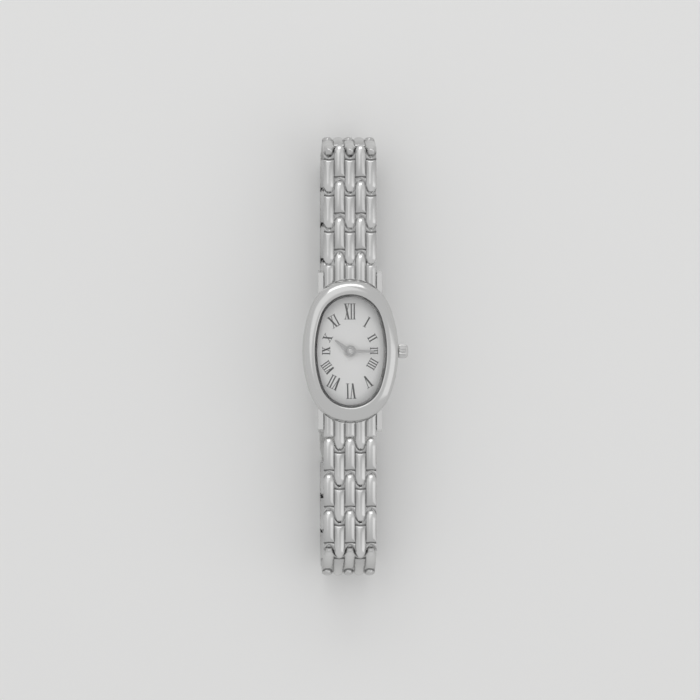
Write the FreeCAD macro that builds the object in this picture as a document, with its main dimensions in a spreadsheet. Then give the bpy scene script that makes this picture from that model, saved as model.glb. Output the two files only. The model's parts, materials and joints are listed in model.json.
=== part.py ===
import FreeCAD, Part
import math
import os
import re
import Sketcher

# Small oval bracelet watch, in millimetres and degrees.
# +X points to 3 o'clock, +Y to 12 o'clock and +Z up, out of the dial.
# The origin lies on the surface that the watch stands on, under the hands' axis.
# The head is drawn about the level of its first link pins and then lifted onto its bracelet.

os.makedirs("parts", exist_ok=True)
doc = FreeCAD.newDocument("OvalWatch")
sizes = doc.addObject("Spreadsheet::Sheet", "Sizes")

SIZES = (
    # the head's outlines
    ("bezel_width", 17.8, "bezel, 9 to 3 o'clock"),
    ("bezel_length", 26.5, "bezel, 12 to 6 o'clock"),
    ("bezel_end_radius", 7.9, "bezel's round ends"),
    ("bezel_height", 2.4, "underside to rim"),
    ("bezel_dome", 1.35, "how far the rim's slope reaches in"),
    ("case_overhang", 0.2, "bezel past the case middle"),
    ("opening_width", 13.3, "crystal opening"),
    ("opening_length", 20.9, "crystal opening"),
    ("opening_end_radius", 5.9, "crystal opening's round ends"),
    ("flange_reach", 0.45, "ledge under the crystal's edge"),
    ("case_above", 0.8, "case middle above the first pins"),
    ("case_below", 2.1, "case middle below the first pins"),
    ("cavity_wall", 0.3, "cavity past the crystal opening"),
    ("back_thickness", 0.7, "case back"),
    ("back_inset", 0.35, "case back's edge inside the case middle"),
    # crystal, dial and hands
    ("crystal_thickness", 0.95, "crystal"),
    ("crystal_drop", 0.1, "crystal's top below the rim"),
    ("fit_gap", 0.05, "clearance of parts that drop in"),
    ("dial_thickness", 0.4, "dial"),
    ("dial_hole", 1.4, "hole for the hour pipe"),
    ("hand_thickness", 0.15, "hands"),
    ("hour_hand_level", 1.2, "underside of the hour hand"),
    ("minute_hand_level", 1.5, "underside of the minute hand"),
    ("hour_hand_length", 3.6, "axis to tip"),
    ("minute_hand_length", 4.6, "axis to tip"),
    ("hour_boss", 2.1, "hour hand's round boss"),
    ("minute_boss", 1.6, "minute hand's round boss"),
    # lugs and their spring bars
    ("lug_play", 0.1, "band to each lug"),
    ("lug_thickness", 0.9, "each lug"),
    ("lug_reach", 15.0, "axis to lug tip"),
    ("lug_tip", 1.0, "spring bar to lug tip"),
    ("bar_level", -0.3, "spring bars against the first pins"),
    ("bar_diameter", 0.8, "spring bar"),
    ("bar_seat", 0.6, "spring bar's end inside each lug"),
    # bracelet
    ("band_width", 9.8, "over the five rows"),
    ("link_pitch", 6.73, "pin to pin"),
    ("first_pin", 17.1, "hands' axis to the first pins"),
    ("bead_crest", 1.05, "bead's crest above its pins"),
    ("bead_groove", 0.62, "groove between rows above the pins"),
    ("link_depth", 0.95, "flat inner face below the pins"),
    ("tip_reach", 1.05, "bead's tip past its pin"),
    ("tip_width", 1.0, "bead's tip"),
    ("nose_height", 0.3, "round end of a tip, about its pin"),
    ("heel_bevel", 0.7, "bevel under a tip, along the link"),
    ("root_gap", 1.2, "pin to the bead behind it"),
    ("shelf_length", 0.6, "low shelf behind each bead"),
    ("shelf_level", 0.45, "shelf above the pins"),
    ("pin_diameter", 0.8, "link pin"),
    ("pin_clearance", 0.03, "radial, in the bores"),
    ("pin_sides", 8, "flats that stand for the round of pins and their bores"),
    # clasp
    ("ladder_thickness", 0.8, "ladder's plate"),
    ("ladder_length", 13.2, "pin to free end"),
    ("slot_length", 2.0, "each slot"),
    ("slot_width", 4.2, "each slot"),
    ("rung_width", 0.8, "between slots"),
    ("first_slot", 4.6, "pin to the first slot"),
    ("hook_gap", 0.1, "hook from the slot's near end"),
    ("hook_thickness", 0.5, "hook"),
    ("hook_width", 3.6, "hook"),
    ("cover_thickness", 0.6, "cover's plate"),
    ("cover_overhang", 0.1, "cover past the band, each side"),
    ("cover_start", 1.9, "hinge pin to the plate"),
    ("cover_lip", 1.1, "plate past the hook"),
    ("flange_thickness", 0.6, "cover's side walls"),
    ("flange_depth", 0.8, "cover's side walls below the plate"),
    ("clasp_clearance", 0.15, "ladder under the cover"),
    ("clasp_play", 0.3, "ladder to the cover's side walls"),
    # movement
    ("movement_length", 14.6, "movement, 12 to 6 o'clock"),
    ("movement_width", 11.6, "movement, 9 to 3 o'clock"),
    ("movement_corner", 2.2, "movement's cut corners"),
    ("movement_depth", 2.35, "dial to the lowest face"),
    ("plate_thickness", 1.3, "main plate"),
    ("bridge_thickness", 0.25, "train bridge"),
    ("stem_level", -0.35, "stem against the first pins"),
    ("stem_diameter", 0.8, "stem"),
    ("stem_neck", 0.5, "stem in the setting lever's groove"),
    ("stem_inner_end", 3.2, "axis to the stem's inner end"),
    ("groove_start", 4.4, "axis to the stem's groove"),
    ("groove_length", 0.4, "stem's groove"),
    ("stem_travel", 0.9, "crown pulled out"),
    ("crown_diameter", 2.7, "crown"),
    ("crown_length", 1.9, "crown"),
    ("crown_gap", 0.05, "crown to the bezel's side"),
    ("flute_depth", 0.16, "crown flutes"),
    ("crown_cap", 0.25, "low cap on the crown's end"),
    ("crown_bore_depth", 1.3, "bore over the crown tube"),
    ("tube_diameter", 1.3, "crown tube, outside"),
    ("tube_bore", 0.9, "crown tube, inside"),
    ("tube_outside", 1.25, "crown tube past the case middle"),
    ("battery_diameter", 5.8, "battery"),
    ("battery_thickness", 1.6, "battery"),
    ("battery_offset", 4.1, "battery towards 6 o'clock"),
    ("cannon_radius", 0.35, "cannon pinion's pipe"),
    ("arbor_radius", 0.45, "centre arbor and pinions"),
    ("hour_pipe_radius", 0.6, "hour wheel's pipe, outside"),
    ("running_gap", 0.05, "between turning parts"),
    ("wheel_thickness", 0.15, "train wheels"),
    ("layer_pitch", 0.25, "one train wheel's level to the next"),
    ("train_wheel_radius", 1.05, "centre, third and intermediate wheels"),
    ("pinion_radius", 0.22, "train pinions"),
    ("hour_wheel_radius", 1.7, "hour wheel"),
    ("minute_wheel_radius", 1.6, "minute wheel"),
    ("minute_pinion_radius", 0.42, "minute wheel's pinion"),
    ("motion_recess", 0.4, "recess for the hour and minute wheels"),
    ("rotor_radius", 0.5, "rotor's magnet"),
    ("board_thickness", 0.2, "circuit board"),
    ("board_width", 2.7, "circuit board, 9 to 3 o'clock"),
    ("board_length", 3.0, "circuit board, 12 to 6 o'clock"),
    ("board_left", -4.1, "circuit board's edge towards 9 o'clock"),
    ("board_low", -0.9, "circuit board's edge towards 6 o'clock"),
    ("chip_size", 1.3, "chip"),
    ("chip_height", 0.35, "chip"),
    ("resonator_radius", 0.28, "quartz resonator's can"),
    ("resonator_length", 2.4, "quartz resonator's can"),
    ("screw_inset", 0.8, "movement's side to a screw's axis"),
    ("screw_up", 1.6, "screws towards 12 o'clock"),
    ("screw_radius", 0.3, "movement screws"),
    ("pillar_radius", 0.7, "train bridge's pillars"),
    ("clamp_width", 1.2, "battery clamp"),
    ("clamp_leg", 0.5, "battery clamp's legs"),
    ("coil_end_width", 0.4, "coil's end plates"),
    ("coil_end_depth", 1.1, "coil's end plates"),
    ("stator_thickness", 0.2, "stator"),
    ("clamp_thickness", 0.1, "battery clamp"),
    ("coil_diameter", 0.95, "coil"),
    ("coil_length", 5.0, "coil"),
    ("coil_offset", 5.3, "coil towards 12 o'clock"),
    ("lever_width", 0.6, "setting lever's tongue"),
)

# How far each link leans down from the dial's plane at rest, going out from the head.
# The ones after these lie flat on their crests, and the last lean here closes each side on that level.
LEANS_AT_TWELVE = (0.0, 0.0, 0.0, 75.0, 115.0)
LEANS_AT_SIX = (0.0, 0.0, 0.0, 57.0, 102.0)
LINK_COUNT_TWELVE = 9
LINK_COUNT_SIX = 8
LAST_LEAN_AT_TWELVE = 168.4

# The hands show a quarter past ten, clockwise from 12.
HOUR_HAND_ANGLE = 305.0
MINUTE_HAND_ANGLE = 91.0

# Wheel centres, seen from the dial side.
THIRD_WHEEL_AT = (1.19, 0.69)
INTERMEDIATE_WHEEL_AT = (1.39, 1.99)
ROTOR_AT = (0.45, 2.92)
MINUTE_WHEEL_AT = (-1.9, 1.11)

for row, (alias, value, note) in enumerate(SIZES, 1):
    sizes.set(f"A{row}", note)
    sizes.set(f"B{row}", str(value))
    sizes.setAlias(f"B{row}", alias)
doc.recompute()

ALIASES = {alias for alias, _, _ in SIZES}
X_AXIS = FreeCAD.Vector(1, 0, 0)
Y_AXIS = FreeCAD.Vector(0, 1, 0)
Z_AXIS = FreeCAD.Vector(0, 0, 1)
TURNS = {
    "XY_Plane": FreeCAD.Rotation(),
    "XZ_Plane": FreeCAD.Rotation(X_AXIS, 90),
    "YZ_Plane": FreeCAD.Rotation(FreeCAD.Vector(1, 1, 1), 120),
}


def full(text):
    """An expression over the sheet, from one that names its sizes alone."""
    return re.sub(r"[a-z_]+", lambda word: f"Sizes.{word[0]}" if word[0] in ALIASES else word[0], text)


def number(text):
    """What such an expression comes to now."""
    return float(sizes.evalExpression(full(text)))


def bind(thing, **expressions):
    """Ties properties of an object to the sheet."""
    for path, text in expressions.items():
        thing.setExpression(path, full(text))
    return thing


def shift(thing, x="0", y="0", z="0"):
    """Ties an object's place to the sheet."""
    for axis, text in (("x", x), ("y", y), ("z", z)):
        thing.setExpression(f".Placement.Base.{axis}", full(text))
    return thing


# Sketches


def sketch(owner, name, plane, level="0"):
    """An empty sketch on one of a body's own planes, or standing free, raised along its normal."""
    if owner is doc:
        made = doc.addObject("Sketcher::SketchObject", name)
        made.Placement = FreeCAD.Placement(FreeCAD.Vector(), TURNS[plane])
        if level != "0":
            shift(made, z=level)
        return made
    made = owner.newObject("Sketcher::SketchObject", name)
    base = next(f for f in owner.Origin.OriginFeatures if f.Role == plane)
    made.AttachmentSupport = [(base, "")]
    made.MapMode = "FlatFace"
    if level != "0":
        made.setExpression(".AttachmentOffset.Base.z", full(level))
    return made


def hold(made, kind, text, *ends):
    """A dimension in a sketch, tied to the sheet."""
    at = made.addConstraint(Sketcher.Constraint(kind, *ends, number(text)))
    made.setExpression(f"Constraints[{at}]", full(text))


def hold_point(made, geometry, end, across, up):
    """Holds a point at two sizes from the sketch's origin."""
    for kind, text, axis in (("DistanceX", across, -2), ("DistanceY", up, -1)):
        if text == "0":
            made.addConstraint(Sketcher.Constraint("PointOnObject", geometry, end, axis))
        else:
            hold(made, kind, text, -1, 1, geometry, end)


def polygon(owner, name, plane, corners, level="0", nose=False):
    """A closed outline through corners, each a pair of expressions; a nose is an arc about the origin."""
    made = sketch(owner, name, plane, level)
    points = [FreeCAD.Vector(number(across), number(up), 0) for across, up in corners]
    for at, point in enumerate(points):
        if nose and at == len(points) - 1:
            made.addGeometry(Part.Arc(point, FreeCAD.Vector(-point.Length, 0, 0), points[0]))
            made.addConstraint(Sketcher.Constraint("PointOnObject", at, 3, -2))
        else:
            made.addGeometry(Part.LineSegment(point, points[(at + 1) % len(points)]))
    for at, (across, up) in enumerate(corners):
        made.addConstraint(Sketcher.Constraint("Coincident", at, 2, (at + 1) % len(points), 1))
        hold_point(made, at, 1, across, up)
    return made


def ring_of(sides, radius, x="0", y="0"):
    """The corners of a regular outline whose flats lie at a radius."""
    step = 360 / sides
    reach = f"({radius}) / cos({step / 2})"
    return [(f"{x} + {reach} * cos({at * step})", f"{y} + {reach} * sin({at * step})") for at in range(sides)]


def mirrored(half):
    """A whole outline from its +across half, listed from bottom to top."""
    return list(half) + [(f"-({across})", up) for across, up in reversed(half)]


def oval(owner, name, width, length, end_radius, level="0"):
    """An oval of four arcs that run into each other, given by its two reaches and its end radius."""
    half = f"(({width}) / 2)"
    rise = f"(({length}) / 2 - ({end_radius}))"
    side = f"(({half} ^ 2 + {rise} ^ 2 - ({end_radius}) ^ 2) / (2 * ({half} - ({end_radius}))))"
    made = sketch(owner, name, "XY_Plane", level)
    centre_x, centre_y = number(f"{side} - {half}"), number(rise)
    radius, end = number(side), number(end_radius)
    turn = math.atan2(centre_y, centre_x)
    for x, y, size, start, stop in (
        (-centre_x, 0, radius, -turn, turn),
        (0, centre_y, end, turn, math.pi - turn),
        (centre_x, 0, radius, math.pi - turn, math.pi + turn),
        (0, -centre_y, end, math.pi + turn, 2 * math.pi - turn),
    ):
        circle = Part.Circle(FreeCAD.Vector(x, y, 0), Z_AXIS, size)
        made.addGeometry(Part.ArcOfCircle(circle, start, stop))
    hold_point(made, 0, 3, f"{half} - {side}", "0")
    hold_point(made, 1, 3, "0", rise)
    hold(made, "Radius", end_radius, 1)
    for rule in (
        ("Symmetric", 0, 3, 2, 3, -1, 1),
        ("Symmetric", 1, 3, 3, 3, -1, 1),
        ("Tangent", 0, 2, 1, 1),
        ("Symmetric", 0, 2, 2, 2, -1, 1),
        ("Symmetric", 1, 1, 3, 1, -1, 1),
        ("Horizontal", 1, 1, 1, 2),
        ("Horizontal", 3, 1, 3, 2),
        ("Vertical", 0, 1, 0, 2),
        ("Vertical", 2, 1, 2, 2),
    ):
        made.addConstraint(Sketcher.Constraint(*rule))
    return made


# Features and solids


def body(name):
    return doc.addObject("PartDesign::Body", name)


def pad(owner, name, profile, length, both_ways=False):
    made = owner.newObject("PartDesign::Pad", name)
    made.Profile = profile
    made.SideType = "Symmetric" if both_ways else "One side"
    return bind(made, Length=length)


def pocket(owner, name, profile, depth, upward=False, both_ways=False):
    made = owner.newObject("PartDesign::Pocket", name)
    made.Profile = profile
    made.SideType = "Symmetric" if both_ways else "One side"
    made.Reversed = upward
    return bind(made, Length=depth)


def edges(feature, test):
    """The names of a feature's edges that pass a test."""
    doc.recompute()
    found = [f"Edge{at}" for at, edge in enumerate(feature.Shape.Edges, 1) if test(edge)]
    assert found, f"{feature.Name} has no such edge"
    return found


def flat_at(edge, level, reach):
    """Whether an edge lies at a level and nowhere nearer the middle than a reach allows."""
    box = edge.BoundBox
    outer = max(abs(box.XMin), abs(box.XMax), abs(box.YMin), abs(box.YMax))
    return abs(box.ZMin - level) < 1e-4 and abs(box.ZMax - level) < 1e-4 and reach(outer)


def disc(name, radius, height, x="0", y="0", z="0"):
    made = bind(doc.addObject("Part::Cylinder", name), Radius=radius, Height=height)
    return shift(made, x, y, z)


def prism(name, sides, radius, height, x="0", y="0", z="0"):
    """An upright solid with flats at a radius, for hidden round parts."""
    reach = f"({radius}) / cos({180 / sides})"
    made = bind(doc.addObject("Part::Prism", name), Circumradius=reach, Height=height)
    made.Polygon = sides
    return shift(made, x, y, z)


def cross_rod(name, radius, length, y, z, flats_at_radius=True):
    """A pin or bore along X, centred on the middle plane; a bore's flats lie at its radius, a pin's corners."""
    made = doc.addObject("Part::Prism", name)
    made.Placement = FreeCAD.Placement(FreeCAD.Vector(), FreeCAD.Rotation(Y_AXIS, 90))
    reach = f"({radius}) / cos(180 / pin_sides)" if flats_at_radius else radius
    bind(made, Circumradius=reach, Height=length, Polygon="pin_sides")
    return shift(made, f"-({length}) / 2", y, z)


def block(name, length, width, height, x, y, z):
    made = bind(doc.addObject("Part::Box", name), Length=length, Width=width, Height=height)
    return shift(made, x, y, z)


def centred_block(name, length, width, height, y, z):
    """A block centred on the middle plane."""
    return block(name, length, width, height, f"-({length}) / 2", y, z)


def drawn(name, profile, length, both_ways=False):
    """A solid drawn out of a free sketch."""
    made = doc.addObject("Part::Extrusion", name)
    made.Base = profile
    made.DirMode = "Normal"
    made.Symmetric = both_ways
    made.Solid = True
    return bind(made, LengthFwd=length)


def fused(name, shapes):
    made = doc.addObject("Part::MultiFuse", name)
    made.Shapes = shapes
    made.Refine = True
    return made


def common(name, shapes):
    made = doc.addObject("Part::MultiCommon", name)
    made.Shapes = shapes
    made.Refine = True
    return made


def cut(name, base, tools):
    made = doc.addObject("Part::Cut", name)
    made.Base = base
    made.Tool = tools[0] if len(tools) == 1 else fused(f"{name}_tools", tools)
    made.Refine = True
    return made


def group(name, shapes):
    made = doc.addObject("Part::Compound", name)
    made.Links = shapes
    return made


def moved(name, source, place):
    """A copy of an object that follows it, at its own place."""
    made = group(name, [source])
    made.Placement = place
    return made


# Bracelet loop


def loop(side, leans, count):
    """Each link's place down one side, and the place of the clasp piece that follows the last."""
    pitch, first = number("link_pitch"), number("first_pin")
    leans = list(leans) + [180.0] * (count + 1 - len(leans))
    y, z, places = side * first, 0.0, []
    for lean in leans:
        turn = FreeCAD.Rotation(X_AXIS, -side * lean)
        if side < 0:
            turn = turn * FreeCAD.Rotation(Z_AXIS, 180)
        places.append(FreeCAD.Placement(FreeCAD.Vector(0, y, z), turn))
        y += side * pitch * math.cos(math.radians(lean))
        z -= pitch * math.sin(math.radians(lean))
    return places


def sine(lean):
    return math.sin(math.radians(lean))


twelve_leans = LEANS_AT_TWELVE + (LAST_LEAN_AT_TWELVE,)
total_drop = sum(sine(lean) for lean in twelve_leans)
last_lean_at_six = 180.0 - math.degrees(math.asin(total_drop - sum(sine(lean) for lean in LEANS_AT_SIX)))
six_leans = LEANS_AT_SIX + (last_lean_at_six,)

twelve_places = loop(1, twelve_leans, LINK_COUNT_TWELVE)
six_places = loop(-1, six_leans, LINK_COUNT_SIX)
clasp_span = twelve_places[-1].Base.y - six_places[-1].Base.y
pin_level = number("bead_crest") + number("link_pitch") * total_drop
LIFT = FreeCAD.Placement(FreeCAD.Vector(0, 0, pin_level), FreeCAD.Rotation())

nodes = []


def node(thing, label, place=FreeCAD.Placement()):
    """Names a finished piece and lifts it to its height over the ground."""
    thing.Label = label
    thing.Placement = LIFT * place
    nodes.append(thing)
    return thing


# Links: five rows of rice-grain beads, three with their tips at this link's own pin, two at the next


def bead(name, back, shelf):
    """One row: a tapered tip with a round nose at the pin, an arched back and, where asked, a low shelf."""
    side = [
        ("-tip_reach", "-nose_height / 2"),
        ("heel_bevel - tip_reach", "-link_depth"),
        (back, "-link_depth"),
        (back, "bead_crest"),
        ("0", "bead_crest"),
        ("-tip_reach", "nose_height / 2"),
    ]
    if shelf:
        side[3:4] = [
            (back, "shelf_level"),
            (f"{back} - shelf_length", "shelf_level"),
            (f"{back} - shelf_length * 1.25", "bead_crest"),
        ]
    width = "band_width / 5 * 1.1"
    length = drawn(f"{name}_length", polygon(doc, f"{name}_side", "YZ_Plane", side, nose=True), width, True)
    half_plan = [
        ("tip_width / 2", "-tip_reach * 1.1"),
        ("band_width / 10", "root_gap"),
        ("band_width / 10", back),
    ]
    plan_outline = polygon(doc, f"{name}_plan", "XY_Plane", mirrored(half_plan), "-link_depth")
    plan = drawn(f"{name}_taper", plan_outline, "link_depth + bead_crest")
    half_arch = [
        ("band_width / 10", "-link_depth"),
        ("band_width / 10", "bead_groove"),
        ("band_width / 22", "bead_crest"),
    ]
    section = polygon(doc, f"{name}_section", "XZ_Plane", mirrored(half_arch))
    arched = drawn(f"{name}_arch", section, f"2.5 * ({back} + tip_reach)", True)
    return common(name, [length, plan, arched])


def stubs(name):
    """The pin where it shows between the three lobes that hold it."""
    return cross_rod(name, "pin_diameter / 2", "0.72 * band_width", "0", "0", False)


def bores(name, y):
    """Running bores for the next link's pin, through the two lobes between its own."""
    return cross_rod(name, "pin_diameter / 2 + pin_clearance", "band_width", y, "0")


def row_shift(row):
    return f"{row} * band_width / 5"


def rows(name, source, at, turn=0.0, y="0"):
    """Copies of a bead on the given rows, counted from the middle one."""
    made = []
    for row in at:
        copy = group(f"{name}_row_{row + 3}", [source])
        copy.Placement = FreeCAD.Placement(FreeCAD.Vector(), FreeCAD.Rotation(Z_AXIS, turn))
        made.append(shift(copy, row_shift(row), y))
    return made


def link():
    grain = bead("grain", "link_pitch - root_gap", True)
    near = rows("near", grain, (-2, 0, 2))
    far = rows("far", grain, (-1, 1), 180.0, "link_pitch")
    pinned = fused("pinned_link", near + far + [stubs("link_stubs")])
    return cut("link", pinned, [bores("link_bores", "link_pitch")])


def comb(name):
    """Three lobes and the pin between them, for a clasp piece to hang on."""
    lobe = bead(f"{name}_lobe", "cover_start + 0.4", False)
    return rows(name, lobe, (-2, 0, 2)) + [stubs(f"{name}_stubs")]


def end_link():
    """The half link between the lugs: it follows the case and holds the first pin's lobes."""
    inner = "first_pin - lug_reach + 6"
    grain = bead("end_grain", inner, False)
    far = rows("end_far", grain, (-1, 1), 180.0)
    plain_back = bead("end_filler", inner, False)
    trim = centred_block("end_trim", "band_width + 2", f"2 * ({inner}) + root_gap", "4", f"-root_gap", "-2")
    near = cut("end_near", group("end_near_rows", rows("end_rows", plain_back, (-2, 0, 2), 180.0)), [trim])
    whole = fused("end_whole", far + [near])
    placed = group("end_placed", [whole])
    shift(placed, y="first_pin")
    case = drawn(
        "end_case_cut",
        oval(
            doc,
            "end_case_oval",
            "bezel_width - 2 * case_overhang + 2 * fit_gap",
            "bezel_length - 2 * case_overhang + 2 * fit_gap",
            "bezel_end_radius - case_overhang + fit_gap",
            "-link_depth - 1",
        ),
        "4",
    )
    bezel = drawn(
        "end_bezel_cut",
        oval(
            doc,
            "end_bezel_oval",
            "bezel_width + 2 * fit_gap",
            "bezel_length + 2 * fit_gap",
            "bezel_end_radius + fit_gap",
            "case_above - fit_gap",
        ),
        "4",
    )
    bar = cross_rod("end_bar_bore", "bar_diameter / 2 + pin_clearance", "band_width * 1.1",
                    "lug_reach - lug_tip", "bar_level")
    return cut("end_link", placed, [case, bezel, bar, bores("end_bores", "first_pin")])


def make_bracelet():
    piece = link()
    for side, places, count in (("12", twelve_places, LINK_COUNT_TWELVE), ("6", six_places, LINK_COUNT_SIX)):
        for at in range(count):
            name = f"link_{side}_{at + 1}"
            node(moved(name, piece, FreeCAD.Placement()), name, places[at])
    ends = end_link()
    node(moved("end_link_12", ends, FreeCAD.Placement()), "end_link_12")
    half_turn = FreeCAD.Placement(FreeCAD.Vector(), FreeCAD.Rotation(Z_AXIS, 180))
    node(moved("end_link_6", ends, FreeCAD.Placement()), "end_link_6", half_turn)


# Clasp: a slotted ladder on one side, and a cover that hinges on the other and hooks into it

COVER_WIDTH = "(band_width + 2 * cover_overhang)"


def make_ladder():
    top = "bead_crest - cover_thickness - clasp_clearance"
    plate = centred_block(
        "ladder_plate",
        f"{COVER_WIDTH} - 2 * flange_thickness - 2 * clasp_play",
        "ladder_length - root_gap",
        "ladder_thickness",
        "root_gap",
        f"{top} - ladder_thickness",
    )
    slots = [
        centred_block(
            f"ladder_slot_{at + 1}",
            "slot_width",
            "slot_length",
            "ladder_thickness * 2",
            f"first_slot + {at} * (slot_length + rung_width)",
            f"{top} - ladder_thickness * 1.5",
        )
        for at in range(3)
    ]
    lobes = comb("ladder")
    over = centred_block("ladder_over", "band_width + 1", "cover_start + 3", "3", "root_gap", top)
    held = cut("ladder_held", fused("ladder_body", lobes + [plate]), slots + [over])
    node(moved("clasp_ladder", held, FreeCAD.Placement()), "clasp_ladder", twelve_places[-1])


def make_cover():
    """Plate, side walls and hook, over the ladder."""
    under = "bead_crest - cover_thickness"
    hook_at = f"({clasp_span:.6f} - first_slot - hook_gap - hook_thickness)"
    end = f"({hook_at} + hook_thickness + cover_lip)"
    plate = centred_block(
        "cover_plate", COVER_WIDTH, f"{end} - cover_start", "cover_thickness", "cover_start", under
    )
    walls = [
        block(
            f"cover_wall_{name}",
            "flange_thickness",
            f"{end} - cover_start - 2.5",
            "flange_depth",
            x,
            "cover_start + 2.5",
            f"{under} - flange_depth",
        )
        for name, x in (("left", f"-{COVER_WIDTH} / 2"), ("right", f"{COVER_WIDTH} / 2 - flange_thickness"))
    ]
    hook = centred_block(
        "cover_hook",
        "hook_width",
        "hook_thickness",
        "clasp_clearance + ladder_thickness",
        hook_at,
        f"{under} - clasp_clearance - ladder_thickness",
    )
    whole = fused("cover_whole", comb("cover") + [plate, hook] + walls)
    node(moved("clasp_cover", whole, FreeCAD.Placement()), "clasp_cover", six_places[-1])


# Case


LUG_GAP = "(band_width + 2 * lug_play)"
CASE_OVAL = (
    "bezel_width - 2 * case_overhang",
    "bezel_length - 2 * case_overhang",
    "bezel_end_radius - case_overhang",
)


def inset_case(inset):
    """The case middle's outline drawn in by an inset."""
    width, length, radius = CASE_OVAL
    return f"{width} - 2 * ({inset})", f"{length} - 2 * ({inset})", f"{radius} - ({inset})"


def opening(growth):
    """The crystal opening's outline grown by an amount."""
    return (
        f"opening_width + 2 * ({growth})",
        f"opening_length + 2 * ({growth})",
        f"opening_end_radius + ({growth})",
    )


def make_case_middle():
    """Barrel with its cavity, four lugs on two rails, holes for the spring bars and the crown tube."""
    made = body("case_middle")
    half = [
        ("0", "-case_below * 0.7"),
        ("lug_reach - lug_tip * 1.5", "-case_below * 0.62"),
        ("lug_reach - lug_tip * 0.4", "bar_level - lug_tip"),
        ("lug_reach", "bar_level - lug_tip * 0.4"),
        ("lug_reach", "bar_level + lug_tip * 0.4"),
        ("lug_reach - lug_tip * 0.5", "bar_level + lug_tip"),
        ("bezel_length / 2 - 1.6", "case_above"),
    ]
    rails = polygon(made, "rail_outline", "YZ_Plane", mirrored(half)[:-1])
    pad(made, "rails", rails, f"{LUG_GAP} + 2 * lug_thickness", True)
    between = polygon(
        made,
        "between_lugs",
        "XY_Plane",
        mirrored([(f"{LUG_GAP} / 2", "-lug_reach * 1.1"), (f"{LUG_GAP} / 2", "lug_reach * 1.1")]),
    )
    pocket(made, "lug_space", between, "4 * (case_below + case_above)", both_ways=True)
    barrel = oval(made, "barrel_outline", *CASE_OVAL, level="-case_below")
    pad(made, "barrel", barrel, "case_below + case_above")
    cavity = oval(made, "cavity_outline", *opening("cavity_wall"), level="case_above")
    pocket(made, "cavity", cavity, "case_below + case_above")
    for name, y in (("twelve", "lug_reach - lug_tip"), ("six", "lug_tip - lug_reach")):
        corners = ring_of(8, "bar_diameter / 2 + pin_clearance", y, "bar_level")
        bar = polygon(made, f"bar_hole_outline_{name}", "YZ_Plane", corners)
        pocket(made, f"bar_hole_{name}", bar, f"{LUG_GAP} + 2 * bar_seat", both_ways=True)
    tube = polygon(made, "tube_hole_outline", "YZ_Plane", ring_of(16, "tube_diameter / 2", "0", "stem_level"))
    pocket(made, "tube_hole", tube, "bezel_width", upward=True)
    node(made, "case_middle")


def make_bezel():
    """Wide ring, sloped to its rim, with the crystal's seat and the narrower wall down to the dial."""
    made = body("bezel")
    outline = oval(
        made, "bezel_outline", "bezel_width", "bezel_length", "bezel_end_radius", level="case_above"
    )
    ring = pad(made, "bezel_ring", outline, "bezel_height")
    rim = number("case_above + bezel_height")
    top = edges(ring, lambda edge: flat_at(edge, rim, lambda outer: True))
    dome = made.newObject("PartDesign::Chamfer", "bezel_round")
    dome.Base = (ring, top)
    dome.ChamferType = "Two distances"
    bind(dome, Size="bezel_dome * 0.75", Size2="bezel_dome")
    seat = oval(made, "seat_outline", *opening("0"), level="case_above + bezel_height")
    pocket(made, "crystal_seat", seat, "crystal_thickness + crystal_drop")
    flange = oval(made, "flange_outline", *opening("-flange_reach"), level="case_above + bezel_height")
    pocket(made, "flange_wall", flange, "bezel_height")
    node(made, "bezel")


def make_crystal():
    made = body("crystal")
    top = "case_above + bezel_height - crystal_drop"
    outline = oval(made, "crystal_outline", *opening("-fit_gap"), level=f"{top} - crystal_thickness")
    pad(made, "crystal_plate", outline, "crystal_thickness")
    node(made, "crystal")


def make_dial():
    made = body("dial")
    outline = oval(
        made, "dial_outline", *opening("cavity_wall - fit_gap"), level="case_above - dial_thickness"
    )
    pad(made, "dial_plate", outline, "dial_thickness")
    hole = polygon(made, "dial_hole_outline", "XY_Plane", ring_of(16, "dial_hole / 2"), level="case_above")
    pocket(made, "dial_centre", hole, "dial_thickness")
    node(made, "dial")


def make_case_back():
    """Snap back: a plate under the case middle."""
    made = body("case_back")
    outline = oval(made, "back_outline", *inset_case("back_inset"), level="-case_below - back_thickness")
    pad(made, "back_plate", outline, "back_thickness")
    node(made, "case_back")


def make_spring_bars():
    bars = [
        cross_rod(f"spring_bar_{name}", "bar_diameter / 2", f"{LUG_GAP} + 2 * bar_seat", y, "bar_level", False)
        for name, y in (("twelve", "lug_reach - lug_tip"), ("six", "lug_tip - lug_reach"))
    ]
    node(group("spring_bars", bars), "spring_bars")


# Hands


def hand(name, boss, length, root_width, tip_width, hole, angle, level):
    """A flat hand: round boss, tapered blade, and the hole for its pipe."""
    sides = mirrored([(f"{root_width} / 2", "0"), (f"{tip_width} / 2", f"{length} * 0.93")])
    outline = polygon(doc, f"{name}_outline", "XY_Plane", sides[:2] + [("0", length)] + sides[2:])
    blade = drawn(f"{name}_blade", outline, "hand_thickness")
    whole = fused(f"{name}_plate", [blade, prism(f"{name}_boss", 24, f"{boss} / 2", "hand_thickness")])
    bored = cut(f"{name}_bored", whole, [prism(f"{name}_bore", 8, hole, "hand_thickness")])
    turn = FreeCAD.Rotation(Z_AXIS, -angle)
    place = FreeCAD.Placement(FreeCAD.Vector(0, 0, number(level)), turn)
    node(moved(name, bored, FreeCAD.Placement()), name, place)


def make_hands():
    hand(
        "hour_hand", "hour_boss", "hour_hand_length", "0.75", "0.35", "hour_pipe_radius",
        HOUR_HAND_ANGLE, "hour_hand_level",
    )
    hand(
        "minute_hand", "minute_boss", "minute_hand_length", "0.65", "0.4", "cannon_radius",
        MINUTE_HAND_ANGLE, "minute_hand_level",
    )


# Movement


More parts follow.
